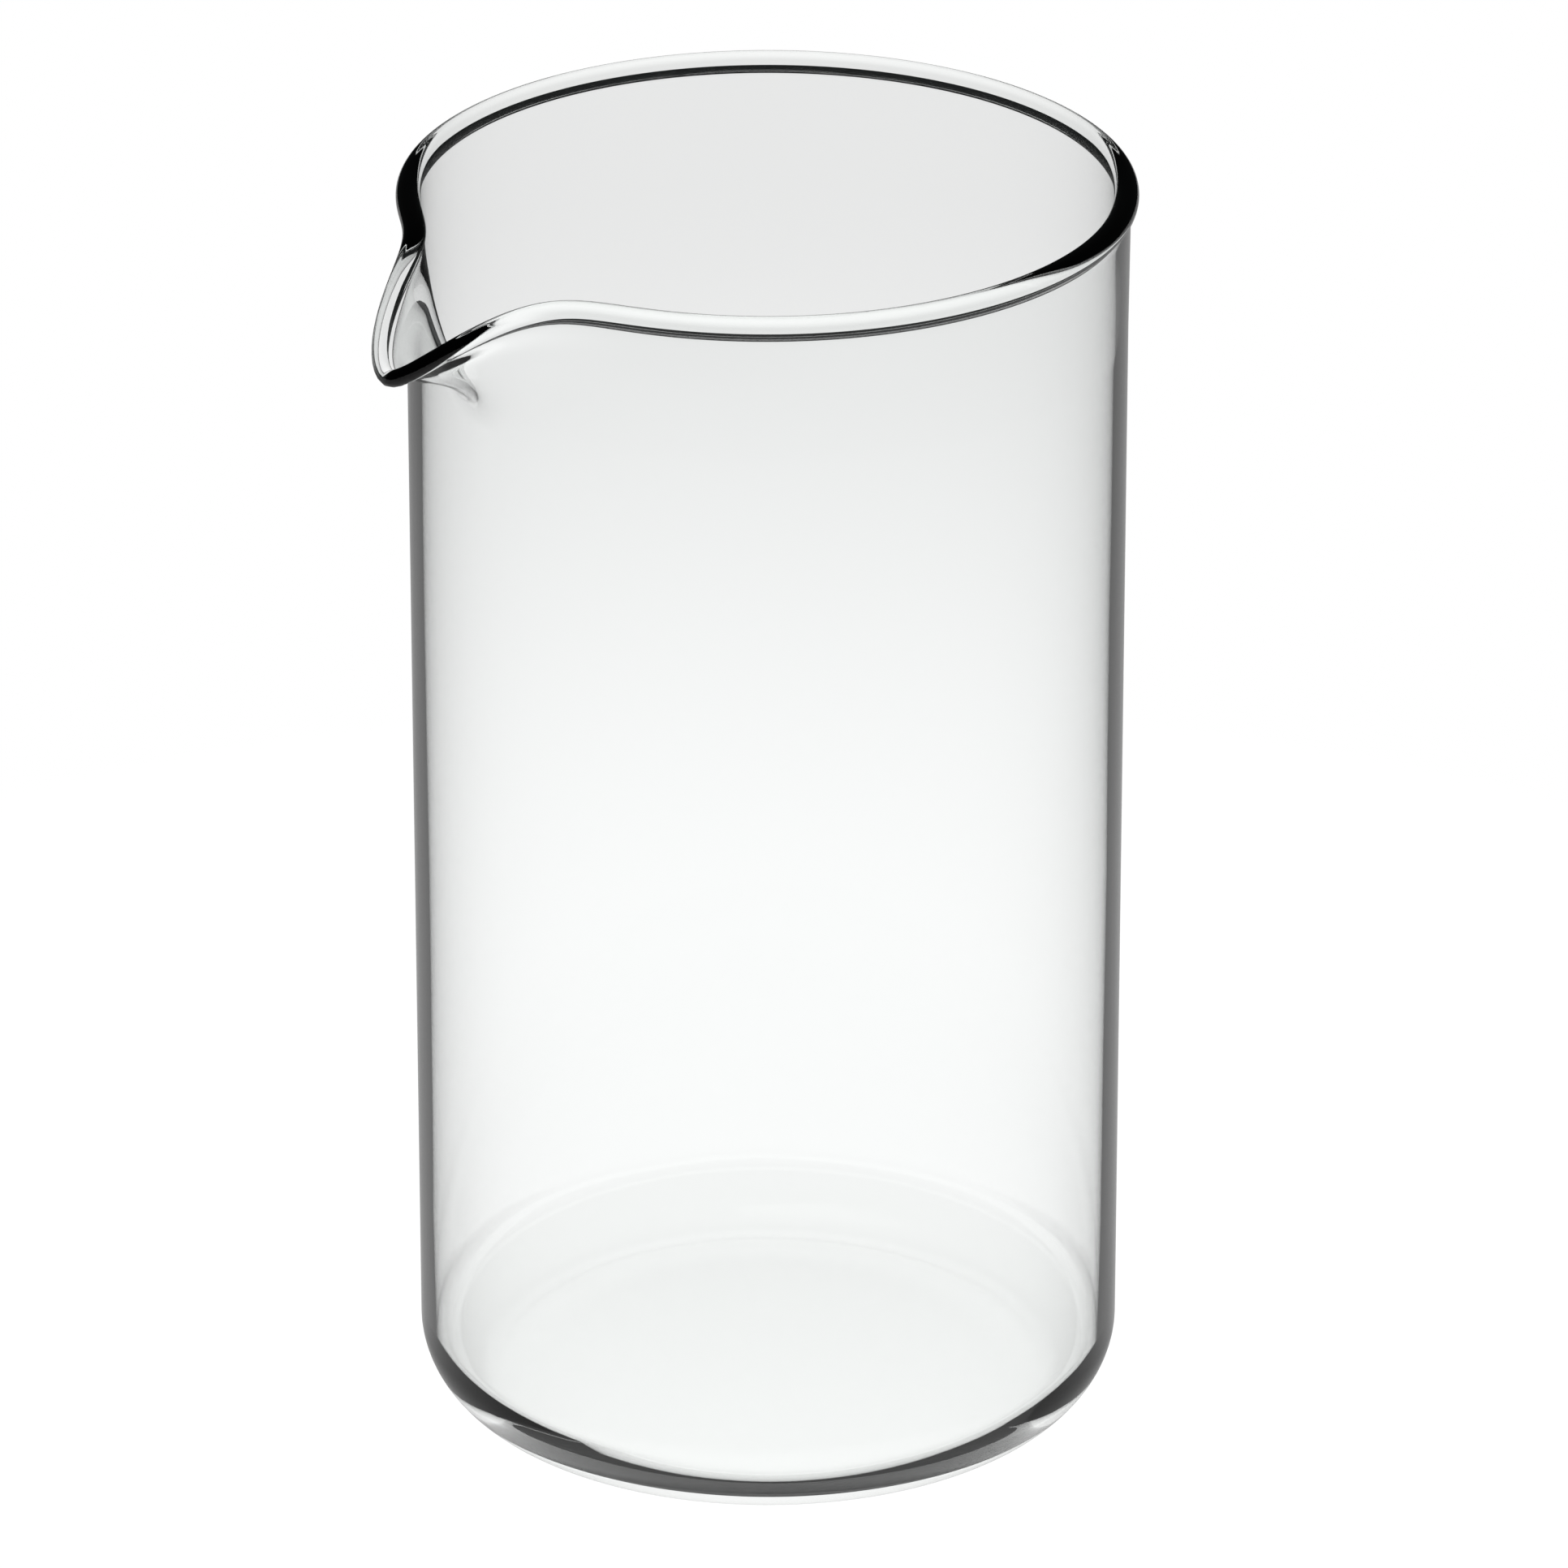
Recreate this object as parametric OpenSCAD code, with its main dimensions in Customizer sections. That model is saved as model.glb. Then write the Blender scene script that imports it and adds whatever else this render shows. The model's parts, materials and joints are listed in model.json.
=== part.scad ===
// Tall straight-sided glass beaker with a beaded rim and a drawn pouring spout.
// The origin is the middle of the foot, on the surface that the beaker stands on.
// +Z is up and +X points along the spout. All sizes are in millimetres.

/* [Body] */
// Outside diameter of the straight wall
body_d = 96; // [70:1:120]
// Height from the foot to the top of the rim
body_h = 177; // [120:1:230]
// Thickness of the wall
wall_t = 1.8; // [1.6:0.1:2.6]

/* [Base] */
// Outside radius of the rounded bottom corner
corner_r = 10; // [7:0.5:14]
// How much larger the inside radius of that corner is
corner_in = 0.5; // [0:0.1:1.5]
// Thickness of the floor
floor_t = 1.6; // [1.4:0.1:4]
// Height by which the middle of the base is pushed up
push_up = 0.8; // [0.3:0.1:1.6]
// Width of the flat ring that the beaker stands on
foot_w = 5; // [2:0.5:12]

/* [Rim] */
// Thickness of the round bead along the rim
bead_d = 3; // [2.5:0.1:3.6]
// How far the bead stands out past the wall
bead_out = 1.2; // [1.1:0.1:1.7]
// Radius of the fillet between the wall and the bead
bead_fillet_r = 0.8; // [0.4:0.1:1.5]
// Length below the rim over which the wall thickens towards the bead
thicken_h = 20; // [12:1:22]
// How much thicker the wall is where it meets the bead
thicken_t = 0.15; // [0.05:0.05:0.4]

/* [Spout] */
// How far the lip reaches out past the round rim
spout_reach = 14.3; // [6:0.1:18]
// How far the lip drops below the round rim
spout_drop = 10.7; // [3:0.1:13]
// Angle around the rim at which the reach has faded by two thirds
reach_angle = 12; // [9:0.5:15]
// Angle around the rim at which the drop has faded by two thirds
drop_angle = 9.3; // [7:0.1:13]
// Depth below the bead at which the middle of the spout leaves the wall
root_h = 21; // [15:0.5:22]
// The same depth at the sides of the spout
side_root_h = 12; // [8:0.5:14]

/* [Hidden] */
$fn = 120;

glass = [0.86, 0.92, 0.91, 0.45];

// The straight wall
outer_r = body_d / 2;
inner_r = outer_r - wall_t;
inner_corner_r = corner_r + corner_in;
above = 10;

// The foot ring and the shallow dome inside it
foot_outer_r = outer_r - corner_r;
dome_r = foot_outer_r - foot_w;
dome_sphere_r = (dome_r * dome_r + push_up * push_up) / (2 * push_up);
dome_fn = 720;

// The rim: a round bead whose inner side is flush with the bore
bead_r = bead_d / 2;
bead_z = body_h - bead_r;
bead_x = outer_r + bead_out - bead_r;
lip_x = min(inner_r + bead_r, bead_x);
neck_r = outer_r + thicken_t;
fillet_x = neck_r + bead_fillet_r;
centres = bead_r + bead_fillet_r;
fillet_z = bead_z - sqrt(centres * centres - pow(fillet_x - bead_x, 2));
thicken_z = body_h - thicken_h;

// The collar: the top of the wall and the rim, swept once round with the spout drawn out of it
sector = 40;           // half angle beyond which the collar is plain
lap_h = 0.5;           // how far the collar runs down into the plain wall
lap_t = 0.02;          // how far its skin stays inside the plain wall's skin
reach_power = 1.88;    // how square the lip is in plan
drop_power = 1.66;     // how square the lip is in height
side_angle = 16;       // angle over which the root rises from its middle to its sides
fold_power = 1.8;      // how late the drop sets in above the root
fine_turn = 1.25;      // angle between sections near the spout
fine_angle = 25;       // half angle of the stretch with fine sections
plain_turns = 92;      // sections round the rest of the collar
wall_steps = 10;
fillet_steps = 4;
bead_steps = 12;
lip_steps = 4;
probe = 0.01;          // step for tangents, as an angle and as a height
root_z = bead_z - root_h;
cut_z = root_z - 1;

// Fading from 1 in the middle of the spout to exactly 0 at the end of the patch
function bell(angle, width, power) = exp(-pow(abs(angle) / width, power));
function fade(angle, width, power) =
    let (end = bell(sector, width, power))
    max(0, (bell(angle, width, power) - end) / (1 - end));

// Thickness and middle radius of the plain wall at a height
function wall_at(z) =
    wall_t + thicken_t * max(0, min(1, (z - thicken_z) / (fillet_z - thicken_z)));
function middle_at(z) = inner_r + wall_at(z) / 2;

// A point of the wall's middle surface after the spout is drawn out
function drawn(angle, z) =
    let (depth = side_root_h + (root_h - side_root_h) * bell(angle, side_angle, 2))
    let (rise = max(0, min(1, 1 - (bead_z - z) / depth)))
    let (out = spout_reach * fade(angle, reach_angle, reach_power) * rise * rise * (2 - rise))
    let (down = spout_drop * fade(angle, drop_angle, drop_power) * pow(rise, fold_power))
    let (r = middle_at(z) + out)
    [r * cos(angle), r * sin(angle), z - down];

// The directions out of the wall and up along it
function unit(v) = v / norm(v);
function along(angle, z) = unit(drawn(angle + probe, z) - drawn(angle - probe, z));
function out_of(angle, z) =
    unit(cross(along(angle, z), drawn(angle, z) - drawn(angle, z - probe)));

// A point of the wall's skin: side is 1 outside and -1 inside
function skin(angle, z, side) =
    drawn(angle, z) + side * (wall_at(z) / 2 - lap_t) * out_of(angle, z);

// A point of the rim, from its place [r, z] in the plain section
function rim_point(angle, place) =
    let (n = out_of(angle, bead_z))
    drawn(angle, bead_z) + (place[0] - middle_at(bead_z)) * n
        + (place[1] - bead_z) * cross(n, along(angle, bead_z));

// Arcs of the rim's section, each from one direction to another
function arc(x, z, r, from, to, steps) =
    [for (i = [0 : steps]) let (a = from + (to - from) * i / steps) [x + r * cos(a), z + r * sin(a)]];
meet = atan2(fillet_z - bead_z, fillet_x - bead_x);
rim_section = concat(
    arc(fillet_x, fillet_z, bead_fillet_r + lap_t, 180, 180 + meet, fillet_steps),
    arc(bead_x, bead_z, bead_r - lap_t, meet, 90, bead_steps),
    arc(lip_x, bead_z, bead_r - lap_t, 90, 180, lip_steps)
);

// Heights of the wall's points in the patch, from the bottom of the patch to the rim
function wall_heights(top) =
    [for (i = [0 : wall_steps - 1]) cut_z - lap_h + (top - cut_z + lap_h) * i / wall_steps];

// One section of the patch: up the outside, over the rim and down the inside
function section(angle) = concat(
    [for (z = wall_heights(fillet_z)) skin(angle, z, 1)],
    [for (p = rim_section) rim_point(angle, p)],
    [for (i = [1 : wall_steps]) skin(angle, wall_heights(bead_z)[wall_steps - i], -1)]
);

// The angles of the sections, once round and closer together at the spout
turns = concat(
    [for (a = [-fine_angle : fine_turn : fine_angle - fine_turn / 2]) a],
    [for (i = [0 : plain_turns - 1]) fine_angle + (360 - 2 * fine_angle) * i / plain_turns]
);

// An angle brought to between -180 and 180
function wrapped(angle) = angle > 180 ? angle - 360 : angle;

module collar() {
    rings = [for (a = turns) section(wrapped(a))];
    count = len(rings[0]);
    total = len(rings) * count;
    polyhedron(
        points = [for (ring = rings) each ring],
        faces = [for (k = [0 : len(rings) - 1], i = [0 : count - 1])
            let (a = k * count + i, b = k * count + (i + 1) % count)
            let (c = (a + count) % total, d = (b + count) % total)
            each [[a, b, c], [b, d, c]]],
        convexity = 10
    );
}

// Half section of a cup: a straight wall with a round corner above a flat floor
module cup_section(r, round_r, floor_z, top_z) {
    translate([0, floor_z]) square([r - round_r, top_z - floor_z]);
    translate([0, floor_z + round_r]) square([r, top_z - floor_z - round_r]);
    translate([r - round_r, floor_z + round_r]) circle(round_r);
}

// The dome's arc, with its crown at height crown_z
module dome_section(crown_z) {
    intersection() {
        translate([0, crown_z - dome_sphere_r]) circle(dome_sphere_r, $fn = dome_fn);
        translate([0, crown_z - 2 * push_up]) square([dome_r + corner_r, 3 * push_up]);
    }
}

// The exact wall and base, up to the collar
module cup() {
    rotate_extrude() {
        difference() {
            union() {
                difference() {
                    cup_section(outer_r, corner_r, 0, cut_z);
                    cup_section(inner_r, inner_corner_r, floor_t, cut_z + above);
                }
                difference() {
                    dome_section(floor_t + push_up);
                    square([dome_r + corner_r, floor_t / 2]);
                }
            }
            dome_section(push_up);
        }
    }
}

module beaker_glass() {
    color(glass) {
        cup();
        collar();
    }
}

beaker_glass();
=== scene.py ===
"""A tall glass beaker with a beaded rim and a drawn pouring spout, laid out as a Blender add-on.

Lengths are in metres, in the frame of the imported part: the beaker stands on z = 0, its axis is
the Z axis, and the spout points along +X.
"""
import json
import math

import bpy
from bpy.props import FloatProperty, FloatVectorProperty, IntProperty, PointerProperty
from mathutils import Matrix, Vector, noise


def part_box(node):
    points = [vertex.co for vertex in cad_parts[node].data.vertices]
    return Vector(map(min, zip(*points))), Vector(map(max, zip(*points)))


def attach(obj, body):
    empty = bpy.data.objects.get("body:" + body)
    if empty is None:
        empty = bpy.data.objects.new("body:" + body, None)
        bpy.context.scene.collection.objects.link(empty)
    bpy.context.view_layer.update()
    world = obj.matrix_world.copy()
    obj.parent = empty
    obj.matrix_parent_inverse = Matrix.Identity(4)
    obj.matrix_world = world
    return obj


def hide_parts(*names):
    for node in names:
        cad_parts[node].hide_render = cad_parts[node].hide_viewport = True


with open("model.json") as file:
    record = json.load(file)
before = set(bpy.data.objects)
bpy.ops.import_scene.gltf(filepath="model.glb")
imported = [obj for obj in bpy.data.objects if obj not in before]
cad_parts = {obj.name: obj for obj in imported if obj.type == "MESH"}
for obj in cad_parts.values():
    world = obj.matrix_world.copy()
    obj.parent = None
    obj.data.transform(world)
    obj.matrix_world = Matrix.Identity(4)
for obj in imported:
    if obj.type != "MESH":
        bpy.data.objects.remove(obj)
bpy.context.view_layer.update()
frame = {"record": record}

bl_info = {
    "name": "Spouted Glass Beaker",
    "version": (1, 0, 0),
    "blender": (4, 5, 0),
    "location": "View3D > Sidebar > Beaker",
    "description": "Models a glass beaker with a beaded rim and a pouring spout, and its bright stage",
    "category": "Object",
}

MM = 0.001
NODE = "beaker_glass"
MOUNTS = {mount["name"]: mount for mount in frame["record"]["mounts"]}
BORE_R = MOUNTS["mouth_bore"]["dims"]["r_mm"] * MM
WALL_R = MOUNTS["wall_band"]["dims"]["r_mm"] * MM
TOP_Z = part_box(NODE)[1].z


class BeakerSizes(bpy.types.PropertyGroup):
    """Sizes of the glass body"""

    outer_r: FloatProperty(
        name="Wall Radius", description="Outside radius of the straight wall",
        default=WALL_R, min=0.03, max=0.07, subtype="DISTANCE", unit="LENGTH")
    inner_r: FloatProperty(
        name="Bore Radius", description="Inside radius of the straight wall",
        default=BORE_R, min=0.028, max=0.068, subtype="DISTANCE", unit="LENGTH")
    height: FloatProperty(
        name="Height", description="Height from the foot to the top of the rim",
        default=TOP_Z, min=0.12, max=0.24, subtype="DISTANCE", unit="LENGTH")
    corner_r: FloatProperty(
        name="Corner Radius", description="Outside radius of the round bottom corner",
        default=0.010, min=0.007, max=0.014, subtype="DISTANCE", unit="LENGTH")
    corner_in: FloatProperty(
        name="Inner Corner", description="How much larger the inside radius of that corner is",
        default=0.0005, min=0.0, max=0.0015, subtype="DISTANCE", unit="LENGTH")
    floor_t: FloatProperty(
        name="Floor Thickness", description="Thickness of the floor",
        default=0.0016, min=0.0014, max=0.004, subtype="DISTANCE", unit="LENGTH")
    push_up: FloatProperty(
        name="Push-up", description="Height by which the middle of the base is pushed up",
        default=0.0008, min=0.0003, max=0.0016, subtype="DISTANCE", unit="LENGTH")
    foot_w: FloatProperty(
        name="Foot Width", description="Width of the flat ring that the beaker stands on",
        default=0.005, min=0.002, max=0.012, subtype="DISTANCE", unit="LENGTH")
    bead_d: FloatProperty(
        name="Bead Thickness", description="Thickness of the round bead along the rim",
        default=0.0030, min=0.0025, max=0.0036, subtype="DISTANCE", unit="LENGTH")
    bead_out: FloatProperty(
        name="Bead Overhang", description="How far the bead stands out past the wall",
        default=0.0012, min=0.0011, max=0.0017, subtype="DISTANCE", unit="LENGTH")
    bead_in: FloatProperty(
        name="Bead Inside", description="How far the melted rim stands in past the bore",
        default=0.0003, min=0.0001, max=0.0006, subtype="DISTANCE", unit="LENGTH")
    fillet_r: FloatProperty(
        name="Bead Fillet", description="Radius of the fillets between the wall and the bead",
        default=0.0008, min=0.0004, max=0.0015, subtype="DISTANCE", unit="LENGTH")
    thicken_h: FloatProperty(
        name="Thickened Length", description="Length over which the wall thickens to the bead",
        default=0.020, min=0.012, max=0.022, subtype="DISTANCE", unit="LENGTH")
    thicken_t: FloatProperty(
        name="Thickening", description="How much thicker the wall is where it meets the bead",
        default=0.00015, min=0.00005, max=0.0004, subtype="DISTANCE", unit="LENGTH")
    waviness: FloatProperty(
        name="Waviness", description="How far the blown wall wanders from its true thickness",
        default=0.00011, min=0.0, max=0.0004, subtype="DISTANCE", unit="LENGTH")
    turns: IntProperty(
        name="Turns", description="Number of sections round the axis",
        default=450, min=90, max=480)


class SpoutSizes(bpy.types.PropertyGroup):
    """Sizes of the spout"""

    reach: FloatProperty(
        name="Reach", description="How far the lip reaches out past the round rim",
        default=0.0148, min=0.006, max=0.018, subtype="DISTANCE", unit="LENGTH")
    drop: FloatProperty(
        name="Drop", description="How far the lip drops below the round rim",
        default=0.0107, min=0.003, max=0.013, subtype="DISTANCE", unit="LENGTH")
    reach_angle: FloatProperty(
        name="Reach Angle", description="Angle at which the reach has faded by two thirds",
        default=math.radians(12), subtype="ANGLE", unit="ROTATION")
    drop_angle: FloatProperty(
        name="Drop Angle", description="Angle at which the drop has faded by two thirds",
        default=math.radians(9.3), subtype="ANGLE", unit="ROTATION")
    side_angle: FloatProperty(
        name="Side Angle", description="Angle over which the root rises to its sides",
        default=math.radians(16), subtype="ANGLE", unit="ROTATION")
    sector: FloatProperty(
        name="Sector", description="Half angle beyond which the rim is plain",
        default=math.radians(40), subtype="ANGLE", unit="ROTATION")
    root_h: FloatProperty(
        name="Root Depth", description="Depth below the bead where the spout leaves the wall",
        default=0.021, min=0.015, max=0.022, subtype="DISTANCE", unit="LENGTH")
    side_root_h: FloatProperty(
        name="Side Root Depth", description="The same depth at the sides of the spout",
        default=0.012, min=0.008, max=0.014, subtype="DISTANCE", unit="LENGTH")
    reach_power: FloatProperty(
        name="Plan Squareness", description="How square the lip is from above",
        default=1.88, min=1.5, max=3.0)
    drop_power: FloatProperty(
        name="Side Squareness", description="How square the lip is from the front",
        default=1.66, min=1.5, max=3.0)
    fold_power: FloatProperty(
        name="Fold", description="How late the drop sets in above the root",
        default=1.8, min=1.0, max=3.0)
    thinning: FloatProperty(
        name="Thinning", description="How much thinner the bead is where the lip was drawn out",
        default=0.3, min=0.0, max=0.5, subtype="FACTOR")


class BeakerColours(bpy.types.PropertyGroup):
    """Colours and finish of the glass, the floor and the surroundings"""

    glass: FloatVectorProperty(
        name="Glass", description="Tint of clear borosilicate glass",
        default=(0.992, 0.999, 0.996), size=3, min=0.0, max=1.0, subtype="COLOR")
    heel: FloatVectorProperty(
        name="Thick Glass", description="Tint where the glass is thick, at the rim and heel",
        default=(0.982, 0.995, 0.986), size=3, min=0.0, max=1.0, subtype="COLOR")
    paper: FloatVectorProperty(
        name="Paper", description="Colour of the lit floor and of the air round it",
        default=(1.0, 1.0, 1.0), size=3, min=0.0, max=1.0, subtype="COLOR")
    dark: FloatVectorProperty(
        name="Room", description="Colour of the dark room that rims and edges mirror",
        default=(0.012, 0.013, 0.013), size=3, min=0.0, max=1.0, subtype="COLOR")
    refraction: FloatProperty(
        name="Refraction", description="Index of refraction of the glass",
        default=1.473, min=1.3, max=1.7)


# ---------------------------------------------------------------- the shape of the glass

# Steps along the stretches of the section
BASE_STEPS, FOOT_STEPS, HEEL_STEPS = 12, 18, 16
OUTER_STEPS, NECK_STEPS, DRAWN_STEPS, BORE_STEPS = 7, 24, 26, 8
FILLET_STEPS, BEAD_STEPS, LIP_STEPS, COVE_STEPS = 6, 22, 16, 4
# How far below the thickened wall the points of the plain outer wall end
PLAIN_END_H = 3 * MM
# Height over which the drawn wall turns into the stiff rim
RIM_JOIN_H = 4 * MM
# How far off a point may lie and still count as part of the inner skin
SKIN_SLACK = 0.1 * MM
# Height below the rim over which the inner skin stops wandering
STRAY_FADE_H = 10 * MM
# Scales and offsets of the swell and the streaks of blown glass, and how strong the streaks are
SWELL_SCALE, SWELL_OFFSET = 28, Vector((3.1, 0.4, 1.7))
STREAK_SCALE, STREAK_RISE, STREAK_OFFSET = 55, 12, Vector((9.3, 5.2, 2.6))
STREAK_SHARE = 0.5


def bell(angle, width, power):
    """1 at angle 0, fading on both sides."""
    return math.exp(-((abs(angle) / width) ** power))


def fade(angle, width, power, sector):
    """The same, brought to exactly 0 at the end of the spout's sector."""
    end = bell(sector, width, power)
    return max(0.0, (bell(angle, width, power) - end) / (1 - end))


def smooth(t):
    """A soft step from 0 to 1."""
    t = min(1.0, max(0.0, t))
    return t * t * (3 - 2 * t)


class Profile:
    """Places on the plain section of the glass, and how the spout is drawn out of it."""

    def __init__(self, body, spout):
        self.body, self.spout = body, spout
        self.bead_r = body.bead_d / 2
        self.bead_z = body.height - self.bead_r
        self.bead_x = body.outer_r + body.bead_out - self.bead_r
        self.lip_x = min(body.inner_r - body.bead_in + self.bead_r, self.bead_x)
        self.neck_r = body.outer_r + body.thicken_t
        self.fillet_x = self.neck_r + body.fillet_r
        centres = self.bead_r + body.fillet_r
        self.fillet_z = self.bead_z - math.sqrt(centres ** 2 - (self.fillet_x - self.bead_x) ** 2)
        self.cove_x = body.inner_r - body.fillet_r
        self.cove_z = self.bead_z - math.sqrt(centres ** 2 - (self.cove_x - self.lip_x) ** 2)
        self.inner_corner_r = body.corner_r + body.corner_in
        self.inner_foot_r = body.inner_r - self.inner_corner_r
        self.thicken_z = body.height - body.thicken_h
        self.root_z = self.bead_z - spout.root_h
        self.foot_r = body.outer_r - body.corner_r
        self.dome_r = self.foot_r - body.foot_w
        self.dome_ball = (self.dome_r ** 2 + body.push_up ** 2) / (2 * body.push_up)

    def wall_at(self, z):
        """Thickness of the plain wall at a height."""
        rise = (z - self.thicken_z) / (self.fillet_z - self.thicken_z)
        wall = self.body.outer_r - self.body.inner_r
        return wall + self.body.thicken_t * min(1.0, max(0.0, rise))

    def middle_at(self, z):
        """Radius of the middle of the plain wall at a height."""
        return self.body.inner_r + self.wall_at(z) / 2

    def is_inside(self, r, z):
        """True for a point of the plain body's inner skin, below the rim."""
        corner, floor_t = self.inner_corner_r, self.body.floor_t
        below = max(0.0, floor_t + corner - z)
        if z < floor_t - SKIN_SLACK or z > self.cove_z:
            return False
        bulge = math.sqrt(max(0.0, corner ** 2 - below ** 2))
        return r < self.inner_foot_r + bulge + SKIN_SLACK

    def dome(self, r):
        """How far the pushed-up base lies below its crown at a radius."""
        return self.dome_ball - math.sqrt(self.dome_ball ** 2 - r ** 2)

    def section(self):
        """The half section as [r, z] points: under the base, up the outside and down the inside."""
        body, corner = self.body, self.inner_corner_r
        meet = math.degrees(math.atan2(self.fillet_z - self.bead_z, self.fillet_x - self.bead_x))
        cove = math.degrees(math.atan2(self.cove_z - self.bead_z, self.cove_x - self.lip_x)) + 360
        under = [(r, body.push_up - self.dome(r)) for r in steps(0, self.dome_r, BASE_STEPS)]
        plain_end = self.thicken_z - PLAIN_END_H
        outside = [(body.outer_r, z) for z in steps(body.corner_r, plain_end, OUTER_STEPS)]
        neck = [(body.inner_r + self.wall_at(z), z)
                for z in steps(self.root_z, self.fillet_z, NECK_STEPS)]
        heel_z, rim_z = body.floor_t + corner, self.bead_z
        inside = [(body.inner_r, z) for z in steps(self.cove_z, self.root_z, DRAWN_STEPS)]
        inside += [(body.inner_r, z) for z in steps(self.root_z, heel_z, BORE_STEPS)[1:]]
        floor = [(r, body.floor_t + body.push_up - self.dome(r))
                 for r in steps(self.dome_r, 0, BASE_STEPS)]
        return [
            *under,
            *arc(self.foot_r, body.corner_r, body.corner_r, -90, 0, FOOT_STEPS),
            *outside[1:],
            *neck,
            *arc(self.fillet_x, self.fillet_z, body.fillet_r, 180, 180 + meet, FILLET_STEPS)[1:],
            *arc(self.bead_x, rim_z, self.bead_r, meet, 90, BEAD_STEPS)[1:],
            *arc(self.lip_x, rim_z, self.bead_r, 90, cove, LIP_STEPS),
            *arc(self.cove_x, self.cove_z, body.fillet_r, cove - 180, 0, COVE_STEPS)[1:-1],
            *inside,
            *arc(self.inner_foot_r, heel_z, corner, 0, -90, HEEL_STEPS)[1:],
            *floor,
        ]

    def drawn(self, angle, z):
        """A point of the wall's middle surface after the spout is drawn out."""
        spout = self.spout
        side = bell(angle, spout.side_angle, 2)
        depth = spout.side_root_h + (spout.root_h - spout.side_root_h) * side
        rise = max(0.0, min(1.0, 1 - (self.bead_z - z) / depth))
        out = fade(angle, spout.reach_angle, spout.reach_power, spout.sector)
        out *= spout.reach * rise * rise * (2 - rise)
        down = fade(angle, spout.drop_angle, spout.drop_power, spout.sector)
        down *= spout.drop * rise ** spout.fold_power
        r = self.middle_at(z) + out
        return Vector((r * math.cos(angle), r * math.sin(angle), z - down))

    def axes(self, angle, z):
        """The directions out of the drawn wall and along it."""
        turn, lift = math.radians(0.01), 0.01 * MM
        along = (self.drawn(angle + turn, z) - self.drawn(angle - turn, z)).normalized()
        up = self.drawn(angle, z) - self.drawn(angle, z - lift)
        return along.cross(up).normalized(), along

    def on_wall(self, angle, r, z):
        """Where a point of the plain wall's skin goes."""
        out, _ = self.axes(angle, z)
        return self.drawn(angle, z) + (r - self.middle_at(z)) * out

    def on_rim(self, angle, r, z):
        """Where a point of the rim's section goes: the section moves as one stiff shape."""
        out, along = self.axes(angle, self.bead_z)
        thin = 1 - self.spout.thinning * bell(angle, self.spout.side_angle, 2)
        aside, above = r - self.middle_at(self.bead_z), z - self.bead_z
        return self.drawn(angle, self.bead_z) + thin * (aside * out + above * out.cross(along))

    def moved(self, angle, r, z):
        """Where a point of the plain body goes when the spout is drawn."""
        share = smooth((z - self.fillet_z + RIM_JOIN_H) / RIM_JOIN_H)
        if share == 0:
            return self.on_wall(angle, r, z)
        rim = self.on_rim(angle, r, z)
        return rim if share == 1 else self.on_wall(angle, r, z).lerp(rim, share)


def steps(start, end, count):
    """count + 1 even steps from start to end."""
    return [start + (end - start) * i / count for i in range(count + 1)]


def arc(x, z, r, start, end, count):
    """Points of an arc between two directions in degrees."""
    turns = [math.radians(a) for a in steps(start, end, count)]
    return [(x + r * math.cos(a), z + r * math.sin(a)) for a in turns]


def wander(point, waviness):
    """How far blown glass strays at a point: long soft streaks and a slow swell."""
    swell = noise.noise(point * SWELL_SCALE + SWELL_OFFSET)
    drawn = Vector((point.x * STREAK_SCALE, point.y * STREAK_SCALE, point.z * STREAK_RISE))
    return waviness * (swell + STREAK_SHARE * noise.noise(drawn + STREAK_OFFSET))


# ---------------------------------------------------------------- modelling helpers

# Points closer than this are one point, where the spun skin closes
SEAM_GAP = 0.001 * MM


def start_mesh(name, place):
    """A new object in edit mode with one vertex at a place."""
    bpy.ops.object.select_all(action="DESELECT")
    bpy.ops.mesh.primitive_plane_add(size=MM, location=(0, 0, 0))
    piece = bpy.context.object
    piece.name = piece.data.name = name
    bpy.ops.object.mode_set(mode="EDIT")
    bpy.ops.mesh.select_mode(type="VERT")
    bpy.ops.mesh.select_all(action="SELECT")
    bpy.ops.mesh.merge(type="CENTER")
    bpy.ops.transform.translate(value=place)
    return piece


def extrude_along(points):
    """Extrudes the selected vertex through the points, the first of which is where it is."""
    for here, there in zip(points, points[1:]):
        bpy.ops.mesh.extrude_region_move(TRANSFORM_OT_translate={"value": there - here})


def spin_round(turns):
    """Spins the selected section once round the Z axis into a closed skin."""
    bpy.ops.mesh.select_all(action="SELECT")
    bpy.ops.mesh.spin(steps=turns, angle=math.tau, center=(0, 0, 0), axis=(0, 0, 1))
    bpy.ops.mesh.select_all(action="SELECT")
    bpy.ops.mesh.remove_doubles(threshold=SEAM_GAP)


# ---------------------------------------------------------------- materials

# Heights at which the tint of the thick heel starts and is full
HEEL_TINT_TOP, HEEL_TINT_FULL = 12 * MM, 3 * MM
# The drawing lines: how their noise is stretched upwards, its scale and detail, and the bump
LINE_STRETCH, LINE_SCALE, LINE_DETAIL = 0.12, 130.0, 2.0
LINE_BUMP, LINE_DEPTH = 0.25, 0.02 * MM
# The smudges: scale and detail of their noise, where they start and end, and their roughness
SMUDGE_SCALE, SMUDGE_DETAIL = 35.0, 4.0
SMUDGE_START, SMUDGE_END, SMUDGE_ROUGHNESS = 0.55, 0.85, 0.02


def new_material(name):
    """An empty node material, with the helper that adds and joins its nodes."""
    material = bpy.data.materials.new(name)
    material.use_nodes = True
    material.node_tree.nodes.clear()
    return material, Nodes(material.node_tree)


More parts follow.
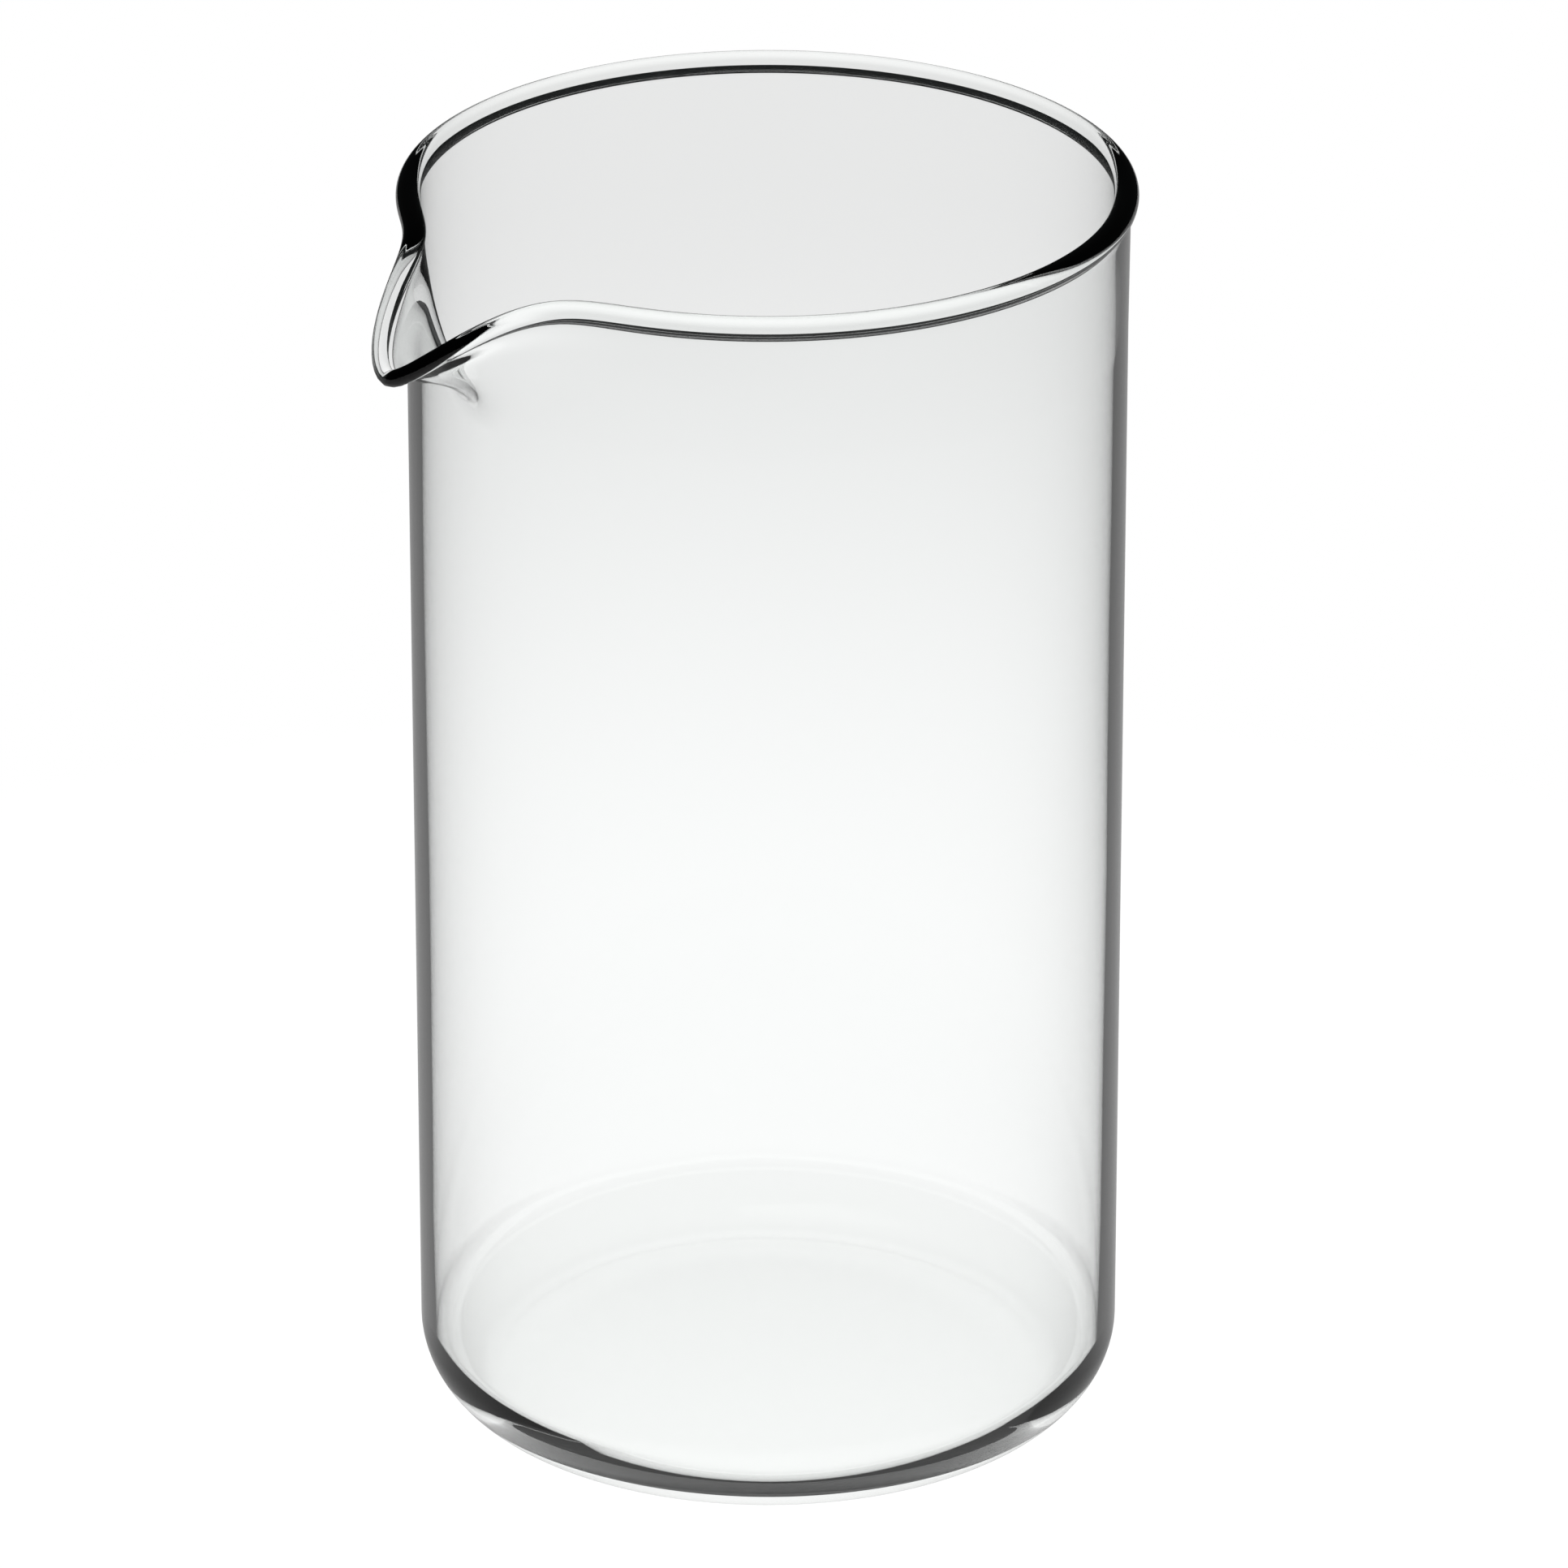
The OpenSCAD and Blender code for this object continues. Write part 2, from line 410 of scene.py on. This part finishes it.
class Nodes:
    """Short ways to add and join nodes."""

    def __init__(self, tree):
        self.tree = tree

    def add(self, kind, **settings):
        """A node with its settings; inputs are given by name, as values or sockets."""
        node = self.tree.nodes.new(kind)
        inputs = settings.pop("inputs", {})
        for key, value in settings.items():
            setattr(node, key, value)
        for key, value in inputs.items():
            if isinstance(value, bpy.types.NodeSocket):
                self.tree.links.new(value, node.inputs[key])
            else:
                node.inputs[key].default_value = value
        return node

    def math(self, operation, a, b):
        """The result of a math node."""
        node = self.add("ShaderNodeMath", operation=operation, inputs={0: a, 1: b})
        return node.outputs[0]

    def between(self, value, start, end, low=0.0, high=1.0):
        """value mapped from start..end to low..high with a soft step."""
        node = self.add("ShaderNodeMapRange", interpolation_type="SMOOTHSTEP", inputs={
            "Value": value, "From Min": start, "From Max": end, "To Min": low, "To Max": high})
        return node.outputs[0]

    def blend(self, share, a, b):
        """A mix of two values."""
        node = self.add("ShaderNodeMix", data_type="FLOAT", inputs={0: share, 2: a, 3: b})
        return node.outputs[0]

    def mix(self, share, a, b):
        """A mix of two colours."""
        node = self.add("ShaderNodeMix", data_type="RGBA", inputs={0: share, 6: a, 7: b})
        return node.outputs[2]


def clear_glass(colours, profile):
    """Clear borosilicate: a touch greener at the rim and heel, with faint drawing lines."""
    material, nodes = new_material("clear_glass")
    place = nodes.add("ShaderNodeTexCoord").outputs["Object"]
    height = nodes.add("ShaderNodeSeparateXYZ", inputs={0: place}).outputs["Z"]
    heel = nodes.between(height, HEEL_TINT_TOP, HEEL_TINT_FULL)
    rim = nodes.between(height, profile.fillet_z, profile.bead_z)
    thick = nodes.math("MAXIMUM", heel, rim)
    tint = nodes.mix(thick, (*colours.glass, 1), (*colours.heel, 1))
    stretched = nodes.add("ShaderNodeMapping", inputs={
        "Vector": place, "Scale": (1, 1, LINE_STRETCH)}).outputs[0]
    lines = nodes.add("ShaderNodeTexNoise", inputs={
        "Vector": stretched, "Scale": LINE_SCALE, "Detail": LINE_DETAIL}).outputs[0]
    smudges = nodes.add("ShaderNodeTexNoise", inputs={
        "Vector": place, "Scale": SMUDGE_SCALE, "Detail": SMUDGE_DETAIL}).outputs[0]
    bump = nodes.add("ShaderNodeBump", inputs={
        "Strength": LINE_BUMP, "Distance": LINE_DEPTH, "Height": lines}).outputs[0]
    roughness = nodes.between(smudges, SMUDGE_START, SMUDGE_END, 0.0, SMUDGE_ROUGHNESS)
    shader = nodes.add("ShaderNodeBsdfPrincipled", inputs={
        "Base Color": tint,
        "Roughness": roughness,
        "IOR": colours.refraction,
        "Transmission Weight": 1.0,
        "Normal": bump,
    })
    nodes.add("ShaderNodeOutputMaterial", inputs={"Surface": shader.outputs[0]})
    return material


# ---------------------------------------------------------------- operators

class BEAKER_OT_stage(bpy.types.Operator):
    """Places the camera, the bright round floor, the surroundings and a soft panel"""

    bl_idname = "beaker.stage"
    bl_label = "Stage"

    def execute(self, context):
        place_camera(context.scene)
        lay_floor(context.scene)
        surround(context.scene)
        hang_panel()
        context.scene.view_settings.view_transform = "Standard"
        return {"FINISHED"}


class BEAKER_OT_glass(bpy.types.Operator):
    """Models the glass body: the spun section, the drawn spout and the finish"""

    bl_idname = "beaker.glass"
    bl_label = "Glass"

    def execute(self, context):
        body = context.scene.beaker_sizes
        profile = Profile(body, context.scene.beaker_spout)
        section = [Vector((r, 0, z)) for r, z in profile.section()]
        piece = start_mesh("glass_body", section[0])
        extrude_along(section)
        spin_round(body.turns)
        bpy.ops.object.mode_set(mode="OBJECT")
        shape_glass(piece, profile)
        bpy.ops.object.mode_set(mode="EDIT")
        bpy.ops.mesh.select_all(action="SELECT")
        bpy.ops.mesh.normals_make_consistent(inside=False)
        bpy.ops.object.mode_set(mode="OBJECT")
        bpy.ops.object.shade_smooth()
        piece.data.materials.append(clear_glass(context.scene.beaker_colours, profile))
        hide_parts(NODE)
        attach(piece, "root")
        return {"FINISHED"}


def shape_glass(piece, profile):
    """Lets the plain wall wander a little and draws the spout out of it."""
    body, spout = profile.body, profile.spout
    for vertex in piece.data.vertices:
        x, y, z = vertex.co
        r = math.hypot(x, y)
        angle = math.atan2(y, x)
        inside = profile.is_inside(r, z)
        if inside:
            stray = wander(vertex.co, body.waviness)
            if z < body.corner_r:
                z += stray
            else:
                r += stray * smooth((profile.bead_z - z) / STRAY_FADE_H)
        if z > profile.root_z and abs(angle) < spout.sector:
            vertex.co = profile.moved(angle, r, z)
        elif inside:
            vertex.co = Vector((r * math.cos(angle), r * math.sin(angle), z))


# Where the camera stands, and what it looks at
CAMERA_TURN = math.radians(142.37)
CAMERA_TILT = math.radians(24.74)
CAMERA_AWAY = 1.5375
CAMERA_LENS = 260.4
CAMERA_SENSOR = 36
CAMERA_NEAR, CAMERA_FAR = 0.05, 50
AIM_ASIDE = 2.19 * MM
AIM_HEIGHT = 89.06 * MM


def towards_view(turn, tilt):
    """The direction from the beaker to something that stands at a turn and a tilt."""
    level = math.cos(tilt)
    return Vector((math.sin(turn) * level, -math.cos(turn) * level, math.sin(tilt)))


def place_camera(scene):
    """A long lens that looks down on the beaker with the spout to its left."""
    aside = Vector((math.cos(CAMERA_TURN), math.sin(CAMERA_TURN), 0))
    aim = aside * AIM_ASIDE + Vector((0, 0, AIM_HEIGHT))
    back = towards_view(CAMERA_TURN, CAMERA_TILT)
    bpy.ops.object.camera_add(location=aim + back * CAMERA_AWAY)
    camera = bpy.context.object
    camera.rotation_euler = back.to_track_quat("Z", "Y").to_euler()
    camera.data.lens = CAMERA_LENS
    camera.data.sensor_width = CAMERA_SENSOR
    camera.data.clip_start = CAMERA_NEAR
    camera.data.clip_end = CAMERA_FAR
    scene.camera = camera


# Light of the floor near the beaker and far from it, as the glass passes it on, and how many
# times as bright it is under the base
NEAR_LIGHT, FAR_LIGHT, BASE_LIGHT = 1.05, 0.84, 1.12
# Where the fall from near to far starts and ends, and where the floor itself ends
NEAR_R, FAR_R, FLOOR_R = 0.12, 0.45, 1.10
FLOOR_SIDES = 128
# Width round the foot over which the brighter base fades out
BASE_FADE_W = 4 * MM
# How far the floor lies under the foot
FLOOR_GAP = 0.02 * MM
# Share of the floor's light that is kept when the glass mirrors it: off the outer skin, after
# one to three skins, as inside a near wall, and after four or more, as in a far wall
SKIN_LIGHT, EDGE_LIGHT, FAR_WALL_LIGHT = 0.45, 0.04, 0.85
# Limits between whole counts of skins crossed or of mirrorings: at least one, at least four
AT_LEAST_ONE, AT_LEAST_FOUR = 0.5, 3.5
# The part of the floor that counts as under the beaker ends this far inside the outer skin
HEEL_SHADE_W = 6.4 * MM


def lay_floor(scene):
    """A round pale floor that gives off light, a little less of it away from the beaker.

    The camera itself sees it as plain white; the fall and the shares of mirrored light only
    show in the glass.
    """
    bpy.ops.object.select_all(action="DESELECT")
    bpy.ops.mesh.primitive_circle_add(vertices=FLOOR_SIDES, radius=FLOOR_R, fill_type="NGON",
                                      location=(0, 0, -FLOOR_GAP))
    floor = bpy.context.object
    floor.name = floor.data.name = "floor"
    material, nodes = new_material("lit_floor")
    place = nodes.add("ShaderNodeTexCoord").outputs["Object"]
    away = nodes.add("ShaderNodeVectorMath", operation="LENGTH", inputs={0: place}).outputs["Value"]
    light = nodes.between(away, NEAR_R, FAR_R, NEAR_LIGHT, FAR_LIGHT)
    foot_r = scene.beaker_sizes.outer_r - scene.beaker_sizes.corner_r
    base = nodes.between(away, foot_r + BASE_FADE_W, foot_r, 1.0, BASE_LIGHT)
    light = nodes.math("MULTIPLY", light, base)
    path = nodes.add("ShaderNodeLightPath").outputs
    mirrored = mirrored_light(nodes, path, away, scene.beaker_sizes.outer_r)
    light = nodes.math("MULTIPLY", light, mirrored)
    light = nodes.math("MAXIMUM", light, path["Is Camera Ray"])
    paper = (*scene.beaker_colours.paper, 1)
    glow = nodes.add("ShaderNodeEmission", inputs={"Color": paper, "Strength": light})
    nodes.add("ShaderNodeOutputMaterial", inputs={"Surface": glow.outputs[0]})
    material.cycles.emission_sampling = "NONE"
    floor.data.materials.append(material)


def mirrored_light(nodes, path, away, wall_r):
    """1 for light that comes straight through the glass, and less for light that it mirrors.

    It is the same from every side. Under the beaker all of it is kept, but for light that has
    crossed both walls.
    """
    crossed = path["Transmission Depth"]
    in_glass = nodes.math("GREATER_THAN", crossed, AT_LEAST_ONE)
    both_walls = nodes.math("GREATER_THAN", crossed, AT_LEAST_FOUR)
    mirrored = nodes.blend(in_glass, SKIN_LIGHT, EDGE_LIGHT)
    under = nodes.math("LESS_THAN", away, wall_r - HEEL_SHADE_W)
    mirrored = nodes.math("MAXIMUM", mirrored, under)
    mirrored = nodes.blend(both_walls, mirrored, FAR_WALL_LIGHT)
    is_mirrored = nodes.math("GREATER_THAN", path["Glossy Depth"], AT_LEAST_ONE)
    return nodes.blend(is_mirrored, 1.0, mirrored)


def surround(scene):
    """Air that is white to the camera, and a dark room to whatever the glass bends or mirrors."""
    colours = scene.beaker_colours
    world = bpy.data.worlds.new("studio_air")
    world.use_nodes = True
    world.node_tree.nodes.clear()
    nodes = Nodes(world.node_tree)
    path = nodes.add("ShaderNodeLightPath").outputs
    colour = nodes.mix(path["Is Camera Ray"], (*colours.dark, 1), (*colours.paper, 1))
    air = nodes.add("ShaderNodeBackground", inputs={"Color": colour, "Strength": 1.0})
    nodes.add("ShaderNodeOutputWorld", inputs={"Surface": air.outputs[0]})
    world.cycles.sampling_method = "NONE"
    scene.world = world


# The soft panel: turn and tilt of the direction it stands in, distance, side and power
PANEL_TURN, PANEL_TILT = math.radians(70), math.radians(80)
PANEL_AWAY, PANEL_SIDE, PANEL_POWER = 1.2, 0.6, 0.3


def hang_panel():
    """A large soft panel above the beaker, for faint glints on the bead and the spout."""
    back = towards_view(PANEL_TURN, PANEL_TILT)
    bpy.ops.object.light_add(type="AREA", location=back * PANEL_AWAY)
    panel = bpy.context.object
    panel.name = panel.data.name = "soft_panel"
    panel.rotation_euler = back.to_track_quat("Z", "Y").to_euler()
    panel.data.shape = "SQUARE"
    panel.data.size = PANEL_SIDE
    panel.data.energy = PANEL_POWER
    panel.visible_camera = False


class BEAKER_PT_panel(bpy.types.Panel):
    """Lists the sizes, the colours and the steps"""

    bl_idname = "BEAKER_PT_panel"
    bl_label = "Beaker"
    bl_space_type = "VIEW_3D"
    bl_region_type = "UI"
    bl_category = "Beaker"

    def draw(self, context):
        scene = context.scene
        for group in (scene.beaker_sizes, scene.beaker_spout, scene.beaker_colours):
            box = self.layout.box()
            for name in group.__annotations__:
                box.prop(group, name)
        for step in STEPS:
            self.layout.operator(step.bl_idname)


GROUPS = (BeakerSizes, SpoutSizes, BeakerColours)
STEPS = (BEAKER_OT_stage, BEAKER_OT_glass)


def register():
    """Registers the classes and hangs the sizes and colours on the scene."""
    for cls in (*GROUPS, *STEPS, BEAKER_PT_panel):
        bpy.utils.register_class(cls)
    bpy.types.Scene.beaker_sizes = PointerProperty(type=BeakerSizes)
    bpy.types.Scene.beaker_spout = PointerProperty(type=SpoutSizes)
    bpy.types.Scene.beaker_colours = PointerProperty(type=BeakerColours)


def unregister():
    """Takes the properties and classes away again."""
    del bpy.types.Scene.beaker_sizes
    del bpy.types.Scene.beaker_spout
    del bpy.types.Scene.beaker_colours
    for cls in reversed((*GROUPS, *STEPS, BEAKER_PT_panel)):
        bpy.utils.unregister_class(cls)


def main():
    """Builds the stage and the beaker."""
    register()
    bpy.ops.beaker.stage()
    bpy.ops.beaker.glass()


if __name__ == "__main__":
    main()
